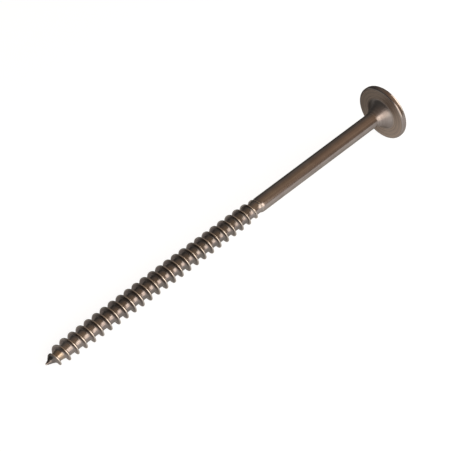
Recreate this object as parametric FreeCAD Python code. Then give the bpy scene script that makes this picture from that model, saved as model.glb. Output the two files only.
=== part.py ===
import FreeCAD, Part
import math
import os
from FreeCAD import Vector

os.makedirs("parts", exist_ok=True)

# Construction screw, all sizes in mm. It is drawn upright along its own axis: s = 0 is the
# end of the tip and s grows toward the head. The finished shape is then laid on its side,
# resting on the edge of the head and on a thread crest near the tip.

# overall
screw_length = 160.0        # tip to bearing face
shank_d = 5.65              # plain shank

# thread: one right-hand ridge, sharp at the crest
thread_d = 8.0              # over the crests, middle of the thread
core_d = 4.9                # root of the thread
thread_pitch = 3.6
thread_angle = 34.0         # included angle of the ridge in an axial section, degrees
foot_angle = 52.0           # included angle of its lower half, which flares to the core
crest_phase = 1.16          # s of a crest on the underside of the lying screw
thread_length = 97.5        # tip to the end of the run-out, rounded to whole turns
lead_drop = 0.30            # crest radius missing where the climb ends
lead_end = 30.0             # s from which the crest has its full radius
taper_from = 54.0           # s from which the crest falls again
tail_drop = 0.36            # crest radius missing where the run-out starts
runout_length = 11.0
shoulder_length = 4.0       # cone from the core up to the shank
shank_step = 0.02           # the end of the rolled part stays this far under the shank

# point
point_length = 9.0          # tip to the full core
knee_s = 4.4                # steep cone up to here, slender cone behind it
knee_d = 3.7
tip_d = 0.60                # blunt end
ridge_start = 0.55          # s at which the ridge leaves the point
entry_s = 2.3               # low start of the ridge up to here
entry_h = 0.57              # its height there
bite_s = 2.75               # end of the steep rise behind it, where the thread bites
bite_drop = 1.10            # crest radius missing there
crest_rise = 9.0            # s at which the crest ends its climb

# head
head_d = 21.0
head_h = 3.8                # bearing face to crown
rim_h = 2.3                 # bearing face to the top of the rim
edge_r = 0.42               # rounded bearing edge, as two bevels
brow_r = 0.60               # rounded upper edge, as one bevel
crown_flat_d = 9.4          # flat around the socket
hub_d = 12.2                # hub cone where it meets the bearing face
hub_half_angle = 36.0       # half angle of the hub cone, degrees
hub_foot = 0.40             # light bevel between hub and bearing face
hub_throat = 0.80           # length of the bevel between hub and shank

# six-lobe socket, size 40
socket_a = 6.75             # across the lobes
socket_b = 4.85             # across the waists
socket_lobe_r = 0.544       # radius of a lobe
socket_depth = 3.6

# construction values
spans_per_turn = 6          # cubic spans of a helical edge in one turn
faces_per_turn = 2          # faces of each strip in one turn
plug_length = 0.9           # rolled part inside the shank

shank_r = shank_d / 2
core_r = core_d / 2
thread_r = thread_d / 2
head_r = head_d / 2
hub_r = hub_d / 2
tip_r = tip_d / 2
crown_s = screw_length + head_h
crown_r = crown_flat_d / 2
run_r = shank_r - shank_step
lead_r = thread_r - lead_drop
tail_r = thread_r - tail_drop
rad = math.radians

turns = int(round((thread_length - ridge_start) / thread_pitch))
thread_end = ridge_start + turns * thread_pitch
first_t = (ridge_start - crest_phase) / thread_pitch
body_line = [(0, tip_r), (knee_s, knee_d / 2), (point_length, core_r),
             (thread_end - shoulder_length, core_r), (thread_end, run_r)]


def on_line(line, s):
    """Radius at s on a line of straight runs, level behind its end."""
    for (s0, r0), (s1, r1) in zip(line, line[1:]):
        if s <= s1:
            return r0 + (r1 - r0) * (s - s0) / (s1 - s0)
    return line[-1][1]


def body_radius(s):
    """Radius of point, core, shoulder and shank at s, without the thread."""
    return on_line(body_line, s)


def crest_radius(s):
    """Radius of the crest at s: low start, steep rise, arc, lead, full part, taper, run-out."""
    runout_from = thread_end - runout_length
    if s < bite_s:
        return on_line([(ridge_start, body_radius(ridge_start)),
                        (entry_s, body_radius(entry_s) + entry_h), (bite_s, lead_r - bite_drop)], s)
    if s < crest_rise:
        radius = ((crest_rise - bite_s) ** 2 + bite_drop ** 2) / (2 * bite_drop)
        return lead_r - radius + math.sqrt(radius ** 2 - (crest_rise - s) ** 2)
    if s < lead_end:
        return lead_r + lead_drop * (s - crest_rise) / (lead_end - crest_rise)
    if s < taper_from:
        return thread_r
    if s < runout_from:
        return thread_r - tail_drop * (s - taper_from) / (runout_from - taper_from)
    return tail_r - (tail_r - run_r) * min((s - runout_from) / runout_length, 1.0) ** 2


def crest_at(t):
    s = crest_phase + thread_pitch * t
    return s, crest_radius(s)


def waist_at(t, side):
    """Half-way up a flank, where the ridge starts to flare; side -1 is the tip's."""
    s, top = crest_at(t)
    half_height = (top - body_radius(s)) / 2
    return s + side * half_height * math.tan(rad(thread_angle / 2)), top - half_height


def foot_at(t, side):
    """Foot of a flank: where its line from the waist meets the body."""
    s_waist, waist = waist_at(t, side)
    s = s_waist
    for _ in range(30):
        s = s_waist + side * (waist - body_radius(s)) * math.tan(rad(foot_angle / 2))
    return s, body_radius(s)


def rail(point_at, t0, t1):
    """Control points of a helical edge in cubic spans, with the slope of (s, r) at each node."""
    count = int(round((t1 - t0) * spans_per_turn))
    step = (t1 - t0) / count
    poles = []
    for i in range(count + 1):
        t = t0 + step * i
        (s, r), (s_a, r_a), (s_b, r_b) = point_at(t), point_at(t - 1e-3), point_at(t + 1e-3)
        ds, dr = [(b - a) / 2e-3 * step / 3 for a, b in ((s_a, s_b), (r_a, r_b))]
        cos, sin = math.cos(2 * math.pi * t), math.sin(2 * math.pi * t)
        swing = 4 / 3 * math.tan(math.pi * step / 2) * r
        node = Vector(r * cos, r * sin, s)
        handle = Vector(dr * cos - swing * sin, dr * sin + swing * cos, ds)
        poles += [node] if i == 0 else [node - handle]
        poles += [node] if i == count else [node + handle]
    return poles


def strip(a, b):
    """Ruled face between two rails of the same number of spans."""
    spans = (len(a) - 2) // 2
    surface = Part.BSplineSurface()
    surface.buildFromPolesMultsKnots(
        [[p, q] for p, q in zip(a, b)], [4] + [2] * (spans - 1) + [4], [2, 2],
        [float(i) for i in range(spans + 1)], [0.0, 1.0], False, False, 3, 1)
    return surface.toShape()


def threaded_rod():
    """Closed solid of point, core and ridge, with a plain plug behind the thread."""
    def foot(side, ahead=0):
        return lambda t: foot_at(t + ahead, side)

    def waist(side):
        return lambda t: waist_at(t, side)

    def circle(s, r):
        return lambda t: (s, r)

    tip_end, start = circle(0, tip_r), circle(ridge_start, body_radius(ridge_start))
    rim, plug = circle(thread_end, run_r), circle(thread_end + plug_length, run_r)

    faces = []
    for k in range(turns):
        section = [foot(-1), waist(-1), crest_at, waist(1), foot(1)]
        if k == 0:
            section = [tip_end, start] + section
        section += [foot(-1, 1)] if k < turns - 1 else [rim, plug]
        for part in range(faces_per_turn):
            a = first_t + k + part / faces_per_turn
            rails = [rail(point_at, a, a + 1 / faces_per_turn) for point_at in section]
            faces += [strip(p, q) for p, q in zip(rails, rails[1:])]
    for s in (0, thread_end + plug_length):
        ring = [e for f in faces for e in f.Edges if e.Length > 0.1
                and max(abs(e.BoundBox.ZMax - s), abs(e.BoundBox.ZMin - s)) < 1e-6]
        faces.append(Part.Face(Part.Wire(ring)))
    shell = Part.makeShell(faces)
    shell.sewShape()
    solid = Part.makeSolid(shell)
    return solid if solid.Volume > 0 else solid.reversed()


def turned(section):
    """Solid of revolution of a closed section given as points (s, r)."""
    points = [Vector(r, 0, s) for s, r in section]
    return Part.Face(Part.makePolygon(points + points[:1])).revolve(
        Vector(0, 0, 0), Vector(0, 0, 1), 360)


def bevels(centre, radius, start, end, count):
    """Points of count facets that stand for a rounded corner; angles from +s toward +r."""
    angles = [rad(start + (end - start) * i / count) for i in range(count + 1)]
    return [(centre[0] + radius * math.cos(a), centre[1] + radius * math.sin(a)) for a in angles]


def shank_and_head():
    """Plain shank, flared hub, rim and dome."""
    half = rad(hub_half_angle)
    start = thread_end + plug_length / 2
    corner_s = screw_length - (hub_r - shank_r) / math.tan(half)
    points = [(start, 0), (start, shank_r), (corner_s - hub_throat / 2, shank_r)]
    points.append((corner_s + hub_throat / 2 * math.cos(half),
                   shank_r + hub_throat / 2 * math.sin(half)))
    points.append((screw_length - hub_foot, hub_r - hub_foot * math.tan(half)))
    points.append((screw_length, hub_r + hub_foot / 2))
    points += bevels((screw_length + edge_r, head_r - edge_r), edge_r, 180, 90, 2)
    dome_slope = math.degrees(math.atan2(head_h - rim_h, head_r - brow_r - crown_r))
    points += bevels((screw_length + rim_h - brow_r, head_r - brow_r), brow_r, 90, dome_slope, 1)
    return turned(points + [(crown_s, crown_r), (crown_s, 0)])


def socket():
    """Six-lobe socket with straight walls and a flat floor."""
    lobe_at, b = socket_a / 2 - socket_lobe_r, socket_b / 2
    across = 2 * lobe_at * math.cos(rad(30))
    waist_r = (across * b + socket_lobe_r ** 2 - lobe_at ** 2 - b ** 2) / (
        2 * b - across - 2 * socket_lobe_r)

    def polar(r, deg):
        return Vector(r * math.cos(rad(deg)), r * math.sin(rad(deg)), crown_s)

    edges = []
    for k in range(6):
        lobe, ahead = polar(lobe_at, 60 * k), polar(lobe_at, 60 * (k + 1))
        back, waist = [polar(b + waist_r, 60 * k + side) for side in (-30, 30)]
        a = lobe + (back - lobe).normalize() * socket_lobe_r
        c = lobe + (waist - lobe).normalize() * socket_lobe_r
        d = ahead + (waist - ahead).normalize() * socket_lobe_r
        edges.append(Part.Arc(a, polar(socket_a / 2, 60 * k), c).toShape())
        edges.append(Part.Arc(c, polar(b, 60 * k + 30), d).toShape())
    return Part.Face(Part.Wire(edges)).extrude(Vector(0, 0, -socket_depth))


def resting_angle():
    """Inclination of the axis at rest on the bearing edge and on the lowest crest, degrees."""
    edge_s, edge_radius = screw_length + edge_r * (1 - math.sqrt(0.5)), head_r - edge_r * (
        1 - math.sqrt(0.5))
    angles = []
    for k in range(turns):
        s, r = crest_at(k)
        angles.append(math.atan2(edge_radius - r, edge_s - s))
    return math.degrees(min(angles))


def lay_down(shape):
    """Turn the axis to +X, tip first, lift the head by the resting angle, set on z = 0."""
    shape = shape.copy()
    shape.rotate(Vector(0, 0, 0), Vector(0, 1, 0), 90 - resting_angle())
    box = shape.optimalBoundingBox(False, False)
    shape.translate(Vector(-box.Center.x, -box.Center.y, -box.ZMin))
    return shape


screw = lay_down(threaded_rod().fuse(shank_and_head()).cut(socket()).Solids[0])
screw.exportStep("parts/screw.step")
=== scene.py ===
import math

import bmesh
import bpy
import numpy as np
from mathutils import Matrix, Vector


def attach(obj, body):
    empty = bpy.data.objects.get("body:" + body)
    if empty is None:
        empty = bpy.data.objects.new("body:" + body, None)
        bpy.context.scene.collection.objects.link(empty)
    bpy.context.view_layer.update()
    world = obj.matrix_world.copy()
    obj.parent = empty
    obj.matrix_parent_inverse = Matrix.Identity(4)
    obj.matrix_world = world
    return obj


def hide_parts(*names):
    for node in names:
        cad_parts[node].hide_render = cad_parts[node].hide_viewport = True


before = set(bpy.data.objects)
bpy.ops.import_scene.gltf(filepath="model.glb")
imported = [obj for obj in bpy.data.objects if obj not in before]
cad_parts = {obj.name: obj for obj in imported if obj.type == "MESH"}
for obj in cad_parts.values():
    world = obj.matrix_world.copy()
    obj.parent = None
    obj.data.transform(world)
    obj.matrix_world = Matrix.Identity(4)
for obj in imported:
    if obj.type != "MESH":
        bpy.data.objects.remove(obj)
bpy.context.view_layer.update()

MM = 0.001

# How the screw lies: the middle of the tip's end, and how far the axis rises toward the head.
TIP = np.array([-81.9174, 0.0, 3.4270])
RISE = math.radians(2.52338)
ALONG = np.array([math.cos(RISE), 0.0, math.sin(RISE)])
DOWN = np.array([math.sin(RISE), 0.0, -math.cos(RISE)])
SIDE = np.array([0.0, 1.0, 0.0])

# Sizes of the part, in mm: s runs along the axis from the tip's end, r is the distance from it.
SCREW_LENGTH = 160.0        # s of the bearing face
SHANK_R = 2.825

# Thread
THREAD_R = 4.0
CORE_R = 2.45
PITCH = 3.6
TURNS = 27
CREST_PHASE = 1.16          # s of a crest on the underside
RIDGE_START = 0.55
THREAD_END = RIDGE_START + TURNS * PITCH
FIRST_TURN = (RIDGE_START - CREST_PHASE) / PITCH
ENTRY_S, ENTRY_R = 2.3, 1.68            # end of the ridge's low start
BITE_S, BITE_R = 2.75, 2.6              # end of the steep rise behind it
CREST_RISE = 9.0            # s at which the climb ends
LEAD_R = 3.70               # crest radius there
LEAD_END = 30.0
TAPER_FROM = 54.0
TAIL_R = 3.64               # crest radius where the run-out starts
RUNOUT = 11.0
RUN_R = 2.805               # end of the rolled part, just under the shank
SHOULDER = 1.2

# Point
TIP_R = 0.30
TIP_CUT = 0.09              # rounding of its blunt end
KNEE_S, KNEE_R = 4.4, 1.85
POINT_LENGTH = 9.0

# Head
HEAD_R = 10.5
HEAD_H = 3.8
RIM_H = 2.3                 # bearing face to the upper edge of the rim
CROWN_R = 4.7               # flat round the socket
HUB_R = 6.1
HUB_HALF = math.radians(36.0)           # half angle of the cone that gives the hub its length
HUB_START = math.radians(22.0)          # inclination of the flared hub at the shank
HUB_END = math.radians(52.0)            # and at the bearing face
HUB_SHARES = (0.14, 0.84)   # part of the flare's curve that has rows of its own
HUB_ROWS = 12
THROAT_CUT, HUB_CUT = 0.6, 0.55         # cuts of the corners at the two ends of the hub
EDGE_CUT, BROW_CUT, CROWN_CUT = 0.60, 1.0, 0.5
FACE_INSETS = (0.8, 0.72)   # rows of the flat face, outside the hub and inside the edge
RIM_ROWS = (0.70, 1.20)     # rows of the straight rim, over the face
DOME_ROWS = ((0.35, 1.35), (0.85, 3.1))     # height over the brow, distance in from the rim
DOME_END = (0.25, 1.2)      # last row of the dome: under the crown, outside its flat
CROWN_INSET = 0.6           # ring on the crown from which the socket's rows start
STEP_LENGTH, STEP_CUT = 1.0, 0.4        # smooth step from the rolled part up to the shank
SHANK_ENDS = (8.0, 2.0)     # first and last plain row, from the thread and from the hub
SHANK_ROWS = 6

# Socket
SOCKET_A, SOCKET_B = 3.375, 2.425       # half widths across the lobes and the waists
LOBE_R = 0.544
SOCKET_DEPTH = 3.6
SOCKET_LIP = 0.16           # how far outside the outline the broken edge starts
SOCKET_WALL = ((0.02, 0.06), (0.10, 0.0), (0.30, 0.0))      # depth, distance outward
SOCKET_FOOT = ((0.5, 0.0), (0.15, -0.03), (0.03, -0.14))    # height over the floor, the same
FLOOR_INSET, FLOOR_SHARES = 0.3, (0.55, 0.0)

# What the rolled thread has beyond the plain ridge.
CREST_LAND = 0.21           # half width of the crest
CREST_ROUND = 0.12          # cut of its two edges
WAIST_TAN = math.tan(math.radians(17.0))
FOOT_TAN = math.tan(math.radians(26.0))
WAIST_FAT = 0.05            # how much wider than the plain ridge at half height
WAIST_CUT = 0.16
FOOT_CUT = 0.48             # cut of the hollow at the foot of a flank
ROOT_BOW = 0.05             # how far the root dips between two ridges
FULL_RIDGE = 0.80           # height from which these have their full size
START_SPREAD = 1.3          # how much wider the tip's side is where the ridge starts
SPREAD_FADE = (2.5, 5.0)    # s from which, and up to which, that fades

COLUMNS = 96                # columns of the mesh in one turn
ROOT_ROWS = 7               # rows of the mesh across a root
MERGE = 2e-7                # distance in metres at which borders of grids become one


def body_radius(s):
    """Radius without the thread at s: straight lines from tip to knee, core, shoulder, shank."""
    return np.interp(s, [0, KNEE_S, POINT_LENGTH, THREAD_END - SHOULDER, THREAD_END],
                     [TIP_R, KNEE_R, CORE_R, CORE_R, RUN_R])


def crest_radius(s):
    """Radius of the crest at s: a slow start on the point, a short steep rise, an arc that
    ends level, a slow rise, a level part, a slow fall, and a parabola down onto the shank."""
    run, climb = CREST_RISE - BITE_S, LEAD_R - BITE_R
    arc = (run ** 2 + climb ** 2) / (2 * climb)
    back = np.clip(CREST_RISE - s, 0, run)
    rising = np.where(s < BITE_S, np.interp(s, [RIDGE_START, ENTRY_S, BITE_S],
                                            [body_radius(RIDGE_START), ENTRY_R, BITE_R]),
                      LEAD_R - arc + np.sqrt(arc ** 2 - back ** 2))
    runout_from = THREAD_END - RUNOUT
    along = np.interp(s, [CREST_RISE, LEAD_END, TAPER_FROM, runout_from],
                      [LEAD_R, THREAD_R, THREAD_R, TAIL_R])
    falling = TAIL_R - (TAIL_R - RUN_R) * np.clip((s - runout_from) / RUNOUT, 0, 1) ** 2
    return np.where(s < CREST_RISE, rising, np.where(s < runout_from, along, falling))


def on_body(s):
    """Points (s, r) on the body."""
    return np.stack([s, body_radius(s)])


def towards(p, q, length):
    """Points at the given length from p on the straight way to q."""
    gap = q - p
    return p + gap * (length / np.maximum(np.hypot(gap[0], gap[1]), 1e-9))


def round_off(before, corner, after, cut, steps):
    """Rows of an arc that takes off a corner: it touches both legs at the cut's length from
    the corner, as a rational curve of the second degree."""
    p, q = towards(corner, before, cut), towards(corner, after, cut)
    weight = np.hypot(*(q - p)) / np.maximum(2 * cut, 1e-9)
    x = np.linspace(0, 1, steps + 1)[:, None, None]
    a, b, c = (1 - x) ** 2, 2 * x * (1 - x) * weight, x ** 2
    return (a * p + b * corner + c * q) / (a + b + c)


def ridge_section(turn):
    """Rows across the ridge at every turn value, from the body on the tip's side over the
    crest to the body on the head's side: hollow foot, bent flank, rounded flat crest."""
    s = CREST_PHASE + PITCH * turn
    top = crest_radius(s)
    half = (top - body_radius(s)) / 2
    grown = np.clip(2 * half / FULL_RIDGE, 0, 1)
    edges, waists, feet, ends = [], [], [], []
    for side in (-1, 1):
        wide = 1 + (np.interp(s, SPREAD_FADE, (START_SPREAD, 0)) if side < 0 else 0)
        edges.append(np.stack([s + side * CREST_LAND * grown, top]))
        waist = np.stack([s + side * (half * WAIST_TAN * wide + WAIST_FAT * grown), top - half])
        foot_s = waist[0]
        for _ in range(12):
            foot_s = waist[0] + side * (waist[1] - body_radius(foot_s)) * FOOT_TAN * wide
        waists.append(waist)
        feet.append(on_body(foot_s))
        ends.append(on_body(foot_s + side * FOOT_CUT * grown))
    foot_cut, waist_cut, crest_cut = FOOT_CUT * grown, WAIST_CUT * grown, CREST_ROUND * grown
    return np.concatenate([
        round_off(ends[0], feet[0], waists[0], foot_cut, 4),
        round_off(feet[0], waists[0], edges[0], waist_cut, 2),
        round_off(waists[0], edges[0], edges[1], crest_cut, 3),
        round_off(edges[0], edges[1], waists[1], crest_cut, 3),
        round_off(edges[1], waists[1], feet[1], waist_cut, 2),
        round_off(waists[1], feet[1], ends[1], foot_cut, 4)])


def root_section(start, end, bow):
    """Rows on the body from one line to another, evenly spaced, with a dip in between that
    starts and ends level."""
    share = np.linspace(0, 1, ROOT_ROWS)[:, None]
    section = np.stack([on_body(s) for s in start[0] * (1 - share) + end[0] * share])
    section[:, 1] -= bow * np.sin(math.pi * share) ** 2
    section[0], section[-1] = start, end
    return section


def place(section, turn):
    """Points in the row frame, in metres, for rows of (s, r) at every turn value: the
    direction from the axis turns from straight down toward +Y."""
    s, r = section[:, 0, :, None], section[:, 1, :, None]
    angle = 2 * math.pi * turn[:, None]
    return (TIP + s * ALONG + r * (np.cos(angle) * DOWN + np.sin(angle) * SIDE)) * MM


def six_lobe(turn):
    """Angle in turns and radius of a six-lobe outline: arcs of the lobes and of the waists
    meet in a tangent, and the columns are shared out evenly along the line."""
    lobe_at = SOCKET_A - LOBE_R
    across = 2 * lobe_at * math.cos(math.radians(30))
    waist_r = (across * SOCKET_B + LOBE_R ** 2 - lobe_at ** 2 - SOCKET_B ** 2) / (
        2 * SOCKET_B - across - 2 * LOBE_R)
    waist_at = SOCKET_B + waist_r
    theta = np.linspace(-30, 30, 2001) * math.pi / 180
    side = math.pi / 6 - np.abs(theta)
    lobe_under = LOBE_R ** 2 - (lobe_at * np.sin(theta)) ** 2
    waist_under = waist_r ** 2 - (waist_at * np.sin(side)) ** 2
    lobe = lobe_at * np.cos(theta) + np.sqrt(np.maximum(lobe_under, 0))
    waist = waist_at * np.cos(side) - np.sqrt(np.maximum(waist_under, 0))
    middle = np.array([waist_at * math.cos(math.pi / 6), waist_at * math.sin(math.pi / 6)])
    touch = np.array([lobe_at, 0]) + (middle - [lobe_at, 0]) * LOBE_R / (LOBE_R + waist_r)
    r = np.where(np.abs(theta) < math.atan2(touch[1], touch[0]), lobe, waist)
    x, y = r * np.cos(theta), r * np.sin(theta)
    length = np.concatenate([[0], np.cumsum(np.hypot(np.diff(x), np.diff(y)))])
    sector = np.floor(turn * 6 + 0.5)
    share = (turn * 6 + 0.5 - sector) * length[-1]
    at = sector / 6 + np.interp(share, length, theta) / (2 * math.pi)
    return at, np.interp(share, length, r)


def turned(corners, steps=6):
    """Rows (s, r) of a turned form from corners (s, r, cut): each corner with a cut is
    rounded off by an arc."""
    points = np.array([c[:2] for c in corners], float)[:, :, None]
    rows = []
    for i, (_, _, cut) in enumerate(corners):
        if cut:
            rows.append(round_off(points[i - 1], points[i], points[i + 1], np.array([cut]), steps))
        else:
            rows.append(points[i][None])
    return np.concatenate(rows)


def hub_flare(start, end, shares):
    """Corners (s, r, 0) on a curve of the second degree between two points, at the given
    shares of it. Its middle control point is where the two end tangents meet."""
    (s0, r0), (s1, r1) = start, end
    tan0, tan1 = math.tan(HUB_START), math.tan(HUB_END)
    s_mid = (r1 - r0 + s0 * tan0 - s1 * tan1) / (tan0 - tan1)
    r_mid = r0 + (s_mid - s0) * tan0
    s = (1 - shares) ** 2 * s0 + 2 * shares * (1 - shares) * s_mid + shares ** 2 * s1
    r = (1 - shares) ** 2 * r0 + 2 * shares * (1 - shares) * r_mid + shares ** 2 * r1
    return [(a, b, 0) for a, b in zip(s, r)]


def shank_and_head():
    """Corners (s, r, cut) behind the thread: step, plain shank, hollow flare of the hub, flat
    bearing face, edge, straight rim, brow, low dome and the flat round the socket."""
    face, crown = SCREW_LENGTH, SCREW_LENGTH + HEAD_H
    corner = face - (HUB_R - SHANK_R) / math.tan(HUB_HALF)
    shank = [(THREAD_END, RUN_R, 0), (THREAD_END + STEP_LENGTH, SHANK_R, STEP_CUT)]
    shank += [(s, SHANK_R, 0) for s in np.linspace(
        THREAD_END + SHANK_ENDS[0], corner - SHANK_ENDS[1], SHANK_ROWS)]
    shank.append((corner, SHANK_R, THROAT_CUT))
    flare = hub_flare((corner, SHANK_R), (face, HUB_R), np.linspace(*HUB_SHARES, HUB_ROWS))
    disc = [(face, HUB_R, HUB_CUT), (face, HUB_R + FACE_INSETS[0], 0),
            (face, HEAD_R - FACE_INSETS[1], 0), (face, HEAD_R, EDGE_CUT)]
    disc += [(face + height, HEAD_R, 0) for height in RIM_ROWS]
    disc.append((face + RIM_H, HEAD_R, BROW_CUT))
    disc += [(face + RIM_H + height, HEAD_R - inward, 0) for height, inward in DOME_ROWS]
    disc += [(crown - DOME_END[0], CROWN_R + DOME_END[1], 0), (crown, CROWN_R, CROWN_CUT),
             (crown, CROWN_R - CROWN_INSET, 0)]
    return shank + flare + disc


def crown_and_socket(ring_r, turn):
    """Grid from a ring on the crown to the middle of the socket's floor: straight lines from
    the ring to the six-lobe outline, a broken edge, upright walls, a small hollow at their
    foot, and the outline drawn in to a point on the floor."""
    crown = SCREW_LENGTH + HEAD_H
    floor = crown - SOCKET_DEPTH
    at, edge = six_lobe(turn)
    rows = [(crown, ring_r + (edge + SOCKET_LIP - ring_r) * share, turn + (at - turn) * share)
            for share in np.linspace(0, 1, 4)]
    rows += [(crown - depth, edge + out, at) for depth, out in SOCKET_WALL]
    rows += [(floor + height, edge + out, at) for height, out in SOCKET_FOOT]
    rows += [(floor, (edge - FLOOR_INSET) * share, at) for share in FLOOR_SHARES]
    return np.stack([place(np.stack([np.full_like(turn, s), r])[None], angle)[0]
                     for s, r, angle in rows])


def around(section, turn):
    """The rows of a turned form at every turn value."""
    return place(np.repeat(section, len(turn), axis=2), turn)


def quads(rows, columns, first):
    """Faces of a grid, seen from outside counter-clockwise."""
    k = first + np.arange(rows * columns).reshape(rows, columns)
    return np.stack([k[:-1, :-1], k[:-1, 1:], k[1:, 1:], k[1:, :-1]], axis=-1).reshape(-1, 4)


def screw_surface():
    """Grids of the whole screw, whose borders meet: the nose turned round the axis, a first cap
    up to the ridge, the ridge carried along its helix, the root from each turn of the ridge to
    the next, a last cap behind the ridge, shank with head, and the crown with its socket."""
    turn = FIRST_TURN + np.arange(TURNS * COLUMNS + 1) / COLUMNS
    first, last = turn[:COLUMNS + 1], turn[-COLUMNS - 1:]
    ridge = ridge_section(turn)
    low, high = ridge[0], ridge[-1]
    crest_s = CREST_PHASE + PITCH * turn
    dip = ROOT_BOW * np.clip((crest_radius(crest_s) - body_radius(crest_s)) / FULL_RIDGE, 0, 1)
    start = on_body(np.full(COLUMNS + 1, RIDGE_START))
    stop = on_body(np.full(COLUMNS + 1, THREAD_END))
    nose = turned([(0, 0, 0), (0, TIP_R, TIP_CUT), (RIDGE_START, body_radius(RIDGE_START), 0)], 3)
    head = turned(shank_and_head())
    return [
        around(nose, first),
        place(root_section(start, low[:, :COLUMNS + 1], 0), first),
        place(ridge, turn),
        place(root_section(high[:, :-COLUMNS], low[:, COLUMNS:], dip[:-COLUMNS]),
              turn[:-COLUMNS]),
        place(root_section(high[:, -COLUMNS - 1:], stop, dip[-COLUMNS - 1:]), last),
        around(head, last),
        crown_and_socket(head[-1, 1, 0], last)]


def make_mesh(name, grids):
    """One closed smooth mesh of several grids whose borders meet."""
    points, faces, first = [], [], 0
    for grid in grids:
        points.append(grid.reshape(-1, 3))
        faces.append(quads(grid.shape[0], grid.shape[1], first))
        first += grid.shape[0] * grid.shape[1]
    mesh = bpy.data.meshes.new(name)
    mesh.from_pydata(np.concatenate(points), [], np.concatenate(faces))
    bm = bmesh.new()
    bm.from_mesh(mesh)
    bmesh.ops.remove_doubles(bm, verts=bm.verts, dist=MERGE)
    bm.to_mesh(mesh)
    bm.free()
    mesh.polygons.foreach_set("use_smooth", np.ones(len(mesh.polygons), bool))
    mesh.update()
    return mesh


# Materials

STEEL_LIGHT = (0.360, 0.318, 0.284, 1)
STEEL_DARK = (0.220, 0.187, 0.166, 1)
STEEL_PAINTED_HIGHLIGHT = (0.500, 0.438, 0.380, 1)     # painted highlight on the crests and the tip's end
STEEL_PURPLE = (0.275, 0.220, 0.202, 1)     # broad bands with a faint tinge
STEEL_STRAW = (0.430, 0.300, 0.165, 1)      # warm root next to the point
STEEL_BROWN = (0.170, 0.115, 0.080, 1)      # specks of thin brown skin
STEEL_THREAD_SHADE = (0.118, 0.106, 0.096, 1)     # painted shade on the thread and the point
STEEL_FACE_AND_SHEEN = (0.460, 0.350, 0.267, 1)       # bearing face, paler and warmer: partly painted sheen
STEEL_EDGE_TINT = (0.75, 0.71, 0.67, 1)     # steel seen at a low angle

# Where each finish starts, is full, and ends again: s and r in mm, profile in pitches from
# the crest, 0, to the middle of the root, 0.5.
THREAD_ZONE = (0.8, 2.5, THREAD_END - 8.0, THREAD_END - 1.0)
CREST_ZONE = (0.8, 2.5, THREAD_END - 0.5, THREAD_END)
STRAW_ZONE = (3.6, 4.4, 5.6, 7.0)
HEAD_FROM = (SCREW_LENGTH - 5.5, SCREW_LENGTH - 4.0)
FACE_S = (SCREW_LENGTH - 0.5, SCREW_LENGTH - 0.1, SCREW_LENGTH + 0.10, SCREW_LENGTH + 0.4)
FACE_R = (HUB_R - 0.3, HUB_R + 0.3, HEAD_R - 0.7, HEAD_R - 0.3)
FLANK_PROFILE = (0.045, 0.08, 0.13, 0.20)
CREST_PROFILE = (0.045, 0.075)
ROOT_PROFILE = (0.18, 0.30)
TIP_HIGHLIGHT = (0.15, 0.45)                 # the painted highlight on the tip's end fades here
POINT_SHADE = (2.6, 3.8)                 # and the painted shade on the cone behind it here
THREAD_SHADE_RAMP = (9.0, 30.0)                # the painted shade on the thread deepens from here to there
RIM_R = (9.0, 9.8)                      # the head grows glossier toward its rim

# Roughness, and what each finish adds to it.
ROUGH_PLAIN = 0.15
ROUGH_TONE, ROUGH_THREAD, ROUGH_FLANK, ROUGH_HUB, ROUGH_FACE = 0.09, 0.06, 0.20, 0.14, 0.16


def link(tree, source, target):
    tree.links.new(source, target)


def node(tree, kind, **settings):
    """A node with its sockets or its own settings set by name."""
    made = tree.nodes.new(kind)
    for name, value in settings.items():
        if name in made.inputs:
            made.inputs[name].default_value = value
        else:
            setattr(made, name, value)
    return made


def feed(tree, sockets, values):
    """Each value, a number, a colour or an output, goes into its socket."""
    for socket, value in zip(sockets, values):
        if isinstance(value, (int, float, tuple)):
            socket.default_value = value
        else:
            link(tree, value, socket)


def maths(tree, operation, *values):
    made = node(tree, "ShaderNodeMath", operation=operation)
    feed(tree, made.inputs, values)
    return made.outputs[0]


def times(tree, a, b):
    return maths(tree, "MULTIPLY", a, b)


def plus(tree, a, b):
    return maths(tree, "ADD", a, b)


def larger(tree, a, b):
    return maths(tree, "MAXIMUM", a, b)


def spread(tree, value, low, high, to_low=0.0, to_high=1.0, smooth=False):
    """The value's way from low to high, as a number from to_low to to_high."""
    made = node(tree, "ShaderNodeMapRange",
                interpolation_type="SMOOTHSTEP" if smooth else "LINEAR")
    made.clamp = True
    feed(tree, made.inputs[:5], (value, low, high, to_low, to_high))
    return made.outputs[0]


def band(tree, value, start, full, last, end):
    """1 between full and last, 0 outside start and end."""
    return times(tree, spread(tree, value, start, full, smooth=True),
                 spread(tree, value, last, end, 1.0, 0.0, smooth=True))


def mixed(tree, share, a, b):
    """Colour between a and b."""
    made = node(tree, "ShaderNodeMix", data_type="RGBA")
    feed(tree, (made.inputs[0], made.inputs[6], made.inputs[7]), (share, a, b))
    return made.outputs[2]


def blend(tree, share, a, b):
    """Number between a and b."""
    made = node(tree, "ShaderNodeMix", data_type="FLOAT")
    feed(tree, (made.inputs[0], made.inputs[2], made.inputs[3]), (share, a, b))
    return made.outputs[0]


def noise(tree, at, scale, detail, rough):
    made = node(tree, "ShaderNodeTexNoise", Scale=scale, Detail=detail, Roughness=rough)
    link(tree, at, made.inputs["Vector"])
    return made.outputs["Fac"]


def vector(tree, x, y, z):
    made = node(tree, "ShaderNodeCombineXYZ")
    feed(tree, made.inputs, (x, y, z))
    return made.outputs[0]


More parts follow.
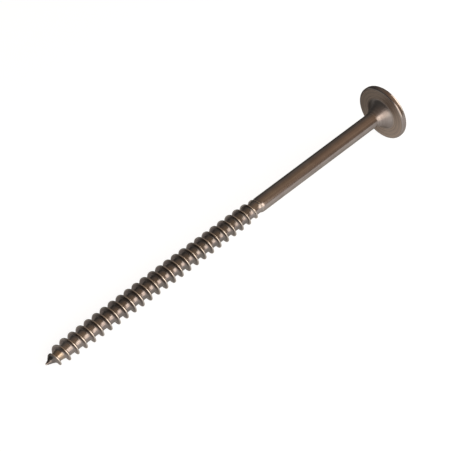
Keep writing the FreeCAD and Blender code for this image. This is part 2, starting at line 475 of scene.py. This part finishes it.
def screw_places(tree):
    """Places on the screw in mm: the turned-back vector, s, r, the direction from the axis, and
    the profile, which goes from 0 on the crest to 0.5 in the middle of the root. For the last
    one, the turns made up to a point are taken from its pitches along the axis."""
    where = node(tree, "ShaderNodeTexCoord")
    own = node(tree, "ShaderNodeMapping", vector_type="TEXTURE")
    own.inputs["Location"].default_value = TIP * MM
    own.inputs["Rotation"].default_value = (0, -RISE, 0)
    own.inputs["Scale"].default_value = (MM, MM, MM)
    link(tree, where.outputs["Object"], own.inputs["Vector"])
    split = node(tree, "ShaderNodeSeparateXYZ")
    link(tree, own.outputs[0], split.inputs[0])
    s, y, z = split.outputs
    r = maths(tree, "SQRT", plus(tree, times(tree, y, y), times(tree, z, z)))
    direction = (maths(tree, "DIVIDE", y, r), maths(tree, "DIVIDE", z, r))
    turns = times(tree, maths(tree, "ARCTAN2", y, times(tree, z, -1.0)), 1 / (2 * math.pi))
    pitches = times(tree, maths(tree, "SUBTRACT", s, CREST_PHASE), 1 / PITCH)
    profile = maths(tree, "PINGPONG", maths(tree, "SUBTRACT", pitches, turns), 0.5)
    return own.outputs[0], s, r, direction, profile


def streaks(tree, along, along_scale, direction, round_scale, detail, rough):
    """Noise drawn out along one measure and wrapped round the axis without a seam."""
    round_y, round_z = (times(tree, part, round_scale) for part in direction)
    return noise(tree, vector(tree, times(tree, along, along_scale), round_y, round_z),
                 1.0, detail, rough)


def steel_material():
    """Drawn and rolled steel of a warm grey: lengthwise lines on the shank, lines along the
    thread, rings on the head and its paler bearing face (partly painted sheen), painted
    highlights on the crests and the tip's end, painted shade on the thread and the point, and
    duller flanks, hub and face."""
    mat = bpy.data.materials.new("screw_steel")
    mat.use_nodes = True
    tree = mat.node_tree
    shader = tree.nodes["Principled BSDF"]
    shader.inputs["Metallic"].default_value = 1.0
    shader.inputs["Specular Tint"].default_value = STEEL_EDGE_TINT
    own, s, r, direction, profile = screw_places(tree)

    on_thread = band(tree, s, *THREAD_ZONE)
    on_head = spread(tree, s, *HEAD_FROM, smooth=True)
    on_hub = times(tree, on_head, spread(tree, r, *RIM_R, 1.0, 0.3))
    on_flank = times(tree, on_thread, band(tree, profile, *FLANK_PROFILE))
    on_face = times(tree, band(tree, s, *FACE_S), band(tree, r, *FACE_R))
    on_crest = times(tree, band(tree, s, *CREST_ZONE),
                     spread(tree, profile, *CREST_PROFILE, 1.0, 0.0, smooth=True))

    drawn = streaks(tree, s, 0.02, direction, 6.0, 4.0, 0.65)
    rolled = streaks(tree, profile, 26.0, direction, 1.5, 3.0, 0.6)
    ringed = noise(tree, vector(tree, times(tree, r, 2.4), times(tree, s, 1.2), 0.0),
                   1.0, 4.0, 0.6)
    lines = blend(tree, on_head, blend(tree, on_thread, drawn, rolled), ringed)
    clouds = noise(tree, own, 0.22, 3.0, 0.6)
    specks = noise(tree, own, 2.6, 4.0, 0.7)
    tinge = streaks(tree, s, 0.012, direction, 1.7, 2.0, 0.5)

    tone = plus(tree, times(tree, lines, 0.7), times(tree, clouds, 0.3))
    # Painted shade: the thread darkens toward the head, and the point's cone is dark.
    dark = larger(tree, times(tree, on_thread, spread(tree, s, *THREAD_SHADE_RAMP, 0.15, 0.6)),
                  spread(tree, s, *POINT_SHADE, 0.85, 0.0))
    straw = times(tree, band(tree, s, *STRAW_ZONE), spread(tree, profile, *ROOT_PROFILE, 0.0, 0.4))
    # Paler bearing face with rings, partly a painted sheen.
    face = times(tree, on_face, spread(tree, ringed, 0.42, 0.58, 0.25, 0.95))
    # Painted highlight: the crests and the tip's end get a lighter colour.
    painted_highlight = larger(tree, on_crest, spread(tree, s, *TIP_HIGHLIGHT, 1.0, 0.0))
    metal = mixed(tree, spread(tree, tone, 0.40, 0.60), STEEL_DARK, STEEL_LIGHT)
    for share, colour in ((dark, STEEL_THREAD_SHADE),
                          (spread(tree, tinge, 0.42, 0.58, 0.0, 0.5), STEEL_PURPLE),
                          (straw, STEEL_STRAW),
                          (spread(tree, specks, 0.56, 0.74, 0.0, 0.35), STEEL_BROWN),
                          (face, STEEL_FACE_AND_SHEEN),
                          (painted_highlight, STEEL_PAINTED_HIGHLIGHT)):
        metal = mixed(tree, share, metal, colour)
    link(tree, metal, shader.inputs["Base Color"])

    roughness = ROUGH_PLAIN
    for mask, added in ((tone, ROUGH_TONE), (on_thread, ROUGH_THREAD), (on_flank, ROUGH_FLANK),
                        (on_hub, ROUGH_HUB), (on_face, ROUGH_FACE)):
        roughness = plus(tree, roughness, times(tree, mask, added))
    link(tree, roughness, shader.inputs["Roughness"])

    bump = node(tree, "ShaderNodeBump", Strength=0.25, Distance=0.00002)
    relief = blend(tree, on_head, 1.0, spread(tree, on_face, 0.0, 1.0, 0.5, 2.5))
    height = times(tree, plus(tree, lines, times(tree, specks, 0.3)), relief)
    link(tree, height, bump.inputs["Height"])
    link(tree, bump.outputs[0], shader.inputs["Normal"])
    return mat


# The table's glow. The lens sees it at GLOW_SEEN; metal sees it at full strength in front of the
# screw, fading behind it and toward the head, and bright again past the head's end.
# That fade is a painted shadow on the table, seen only in what metal mirrors.
GLOW_SEEN = 1.28
GLOW_SHARE = 0.7                        # of the glow in what the lens sees
GLOW_FULL = 1.04
BEHIND_FROM = (-0.03, 0.03)             # places in metres
HEAD_SIDE = (0.035, 0.070)
HEAD_SIDE_GLOW = (0.48, 0.14)
PAST_HEAD = (0.085, 0.11)
PAST_HEAD_DEPTH = (0.0, 0.05)


def floor_material():
    """White table: matt, with a glow of its own for the lens and for what metal mirrors, so
    that it stays white round the screw and still takes its shadow. Metal sees it fade
    behind the screw, a painted shadow."""
    mat = bpy.data.materials.new("white_table")
    mat.use_nodes = True
    tree = mat.node_tree
    shader = tree.nodes["Principled BSDF"]
    shader.inputs["Base Color"].default_value = (0.86, 0.86, 0.86, 1)
    shader.inputs["Roughness"].default_value = 0.9
    shader.inputs["Specular IOR Level"].default_value = 0.0
    where = node(tree, "ShaderNodeTexCoord")
    split = node(tree, "ShaderNodeSeparateXYZ")
    link(tree, where.outputs["Object"], split.inputs[0])
    x, y, _ = split.outputs
    # Painted shadow: the glow that metal mirrors is dimmed behind the screw and beside the head.
    behind = blend(tree, spread(tree, y, *BEHIND_FROM, smooth=True), GLOW_FULL,
                   spread(tree, x, *HEAD_SIDE, *HEAD_SIDE_GLOW, smooth=True))
    past_head = times(tree, spread(tree, x, *PAST_HEAD, 0.0, GLOW_FULL, smooth=True),
                      spread(tree, y, *PAST_HEAD_DEPTH, 1.0, 0.0, smooth=True))

    rays = node(tree, "ShaderNodeLightPath")
    mirrored = larger(tree, rays.outputs["Is Glossy Ray"], rays.outputs["Is Transmission Ray"])
    glow = node(tree, "ShaderNodeEmission")
    link(tree, blend(tree, mirrored, GLOW_SEEN, larger(tree, behind, past_head)),
         glow.inputs["Strength"])
    mix = node(tree, "ShaderNodeMixShader")
    share = plus(tree, times(tree, rays.outputs["Is Camera Ray"], GLOW_SHARE), mirrored)
    feed(tree, mix.inputs, (share, shader.outputs[0], glow.outputs[0]))
    link(tree, mix.outputs[0], tree.nodes["Material Output"].inputs["Surface"])
    return mat


# Surroundings: their colours from the far left side to the middle of the brown glow.
GLOW_TOWARD = (0.46, -0.43, 0.78)
GLOW_STOPS = ((0.42, (0.110, 0.112, 0.114, 1)), (0.76, (0.280, 0.240, 0.214, 1)),
              (0.90, (0.385, 0.295, 0.225, 1)), (0.99, (0.55, 0.415, 0.305, 1)))
WHITE = (1.0, 1.0, 1.0, 1)


def studio_world():
    """Surroundings of the table: dark behind it, with a broad brown glow above its near right
    side, which fades out toward the far left. The lens sees them white."""
    world = bpy.data.worlds.new("studio")
    bpy.context.scene.world = world
    world.use_nodes = True
    tree = world.node_tree
    where = node(tree, "ShaderNodeTexCoord")
    toward = node(tree, "ShaderNodeVectorMath", operation="DOT_PRODUCT")
    toward.inputs[1].default_value = GLOW_TOWARD
    link(tree, where.outputs["Generated"], toward.inputs[0])
    ramp = node(tree, "ShaderNodeValToRGB")
    ramp.color_ramp.interpolation = "EASE"
    stops = ramp.color_ramp.elements
    first, *between, last = GLOW_STOPS
    for stop, (at, colour) in zip(stops, (first, last)):
        stop.position, stop.color = at, colour
    for at, colour in between:
        stops.new(at).color = colour
    link(tree, spread(tree, toward.outputs["Value"], -1.0, 1.0), ramp.inputs[0])
    rays = node(tree, "ShaderNodeLightPath")
    link(tree, mixed(tree, rays.outputs["Is Camera Ray"], ramp.outputs[0], WHITE),
         tree.nodes["Background"].inputs["Color"])


# Lamps: name, place, point looked at, width and height in metres, power in watts, colour.
LAMPS = (
    ("front_window", (-0.160, -0.250, 0.160), (-0.160, 0.0, 0.160), (0.58, 0.32), 1.14,
     (1.0, 0.94, 0.88)),
    ("front_strip", (0.052, -0.240, 0.155), (0.052, 0.0, 0.155), (0.090, 0.28), 0.10,
     (1.0, 0.94, 0.86)),
    ("front_patch", (-0.055, -0.245, 0.180), (-0.055, 0.0, 0.180), (0.09, 0.08), 0.070,
     (1.0, 0.94, 0.88)),
    ("end_window", (0.220, -0.030, 0.058), (0.0, -0.030, 0.058), (0.11, 0.09), 0.17,
     (1.0, 0.95, 0.86)))


def soft_box(name, stand, aim, size, power, colour):
    """A flat lamp turned to a point; the lens doesn't see it."""
    data = bpy.data.lights.new(name, "AREA")
    data.shape = "RECTANGLE"
    data.size, data.size_y = size
    data.energy, data.color = power, colour
    lamp = bpy.data.objects.new(name, data)
    lamp.matrix_world = Matrix.Translation(stand) @ (
        Vector(aim) - Vector(stand)).to_track_quat("-Z", "Y").to_matrix().to_4x4()
    lamp.visible_camera = False
    bpy.context.collection.objects.link(lamp)


# Camera, as in the photograph: the screw's direction and the tip's place as the lens sees them.
LENS_PX = 2137.2            # focal length in pixels of the frame
FRAME_PX = 452
SENSOR = 36.0
TIP_PX = (45.82, 364.52)
TIP_DEPTH = 687.1           # mm before the lens
AXIS_SEEN = Vector((0.70710, 0.52908, -0.46913)).normalized()     # right, up, back
ACROSS_SEEN = Vector((0.59866, -0.80100, 0.0))
ACROSS_TURN = math.radians(-55.5)


def place_camera():
    """The camera is turned so that the axis, and a direction across it at ACROSS_TURN from
    straight down, lie as seen; then it is set so that the tip falls on its pixel."""
    across = Vector(math.cos(ACROSS_TURN) * DOWN + math.sin(ACROSS_TURN) * SIDE)
    along = Vector(ALONG)
    own = Matrix((along, across, along.cross(across))).transposed()
    seen = Matrix((AXIS_SEEN, ACROSS_SEEN, AXIS_SEEN.cross(ACROSS_SEEN))).transposed()
    turn = own @ seen.inverted()
    tip_seen = Vector(((TIP_PX[0] - FRAME_PX / 2) / LENS_PX,
                       (FRAME_PX / 2 - TIP_PX[1]) / LENS_PX, -1.0)) * TIP_DEPTH
    data = bpy.data.cameras.new("camera")
    data.sensor_width = SENSOR
    data.lens = LENS_PX * SENSOR / FRAME_PX
    data.clip_start, data.clip_end = 0.01, 50.0
    camera = bpy.data.objects.new("camera", data)
    turn = turn.to_quaternion().normalized().to_matrix()
    camera.matrix_world = Matrix.Translation((Vector(TIP) - turn @ tip_seen) * MM) @ (
        turn.to_4x4())
    bpy.context.collection.objects.link(camera)
    bpy.context.scene.camera = camera


TABLE_REACH = 6.0           # metres from its middle to a side


def make_table():
    """A flat square at z = 0 under the screw."""
    mesh = bpy.data.meshes.new("table")
    mesh.from_pydata([(-TABLE_REACH, -TABLE_REACH, 0), (TABLE_REACH, -TABLE_REACH, 0),
                      (TABLE_REACH, TABLE_REACH, 0), (-TABLE_REACH, TABLE_REACH, 0)],
                     [], [(0, 1, 2, 3)])
    mesh.materials.append(floor_material())
    table = bpy.data.objects.new("table", mesh)
    bpy.context.collection.objects.link(table)
    return table


screw = bpy.data.objects.new("construction_screw",
                             make_mesh("construction_screw", screw_surface()))
bpy.context.collection.objects.link(screw)
screw.data.materials.append(steel_material())
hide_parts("screw")
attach(screw, "root")

place_camera()
make_table()
studio_world()
for lamp in LAMPS:
    soft_box(*lamp)
bpy.context.scene.view_settings.view_transform = "Standard"
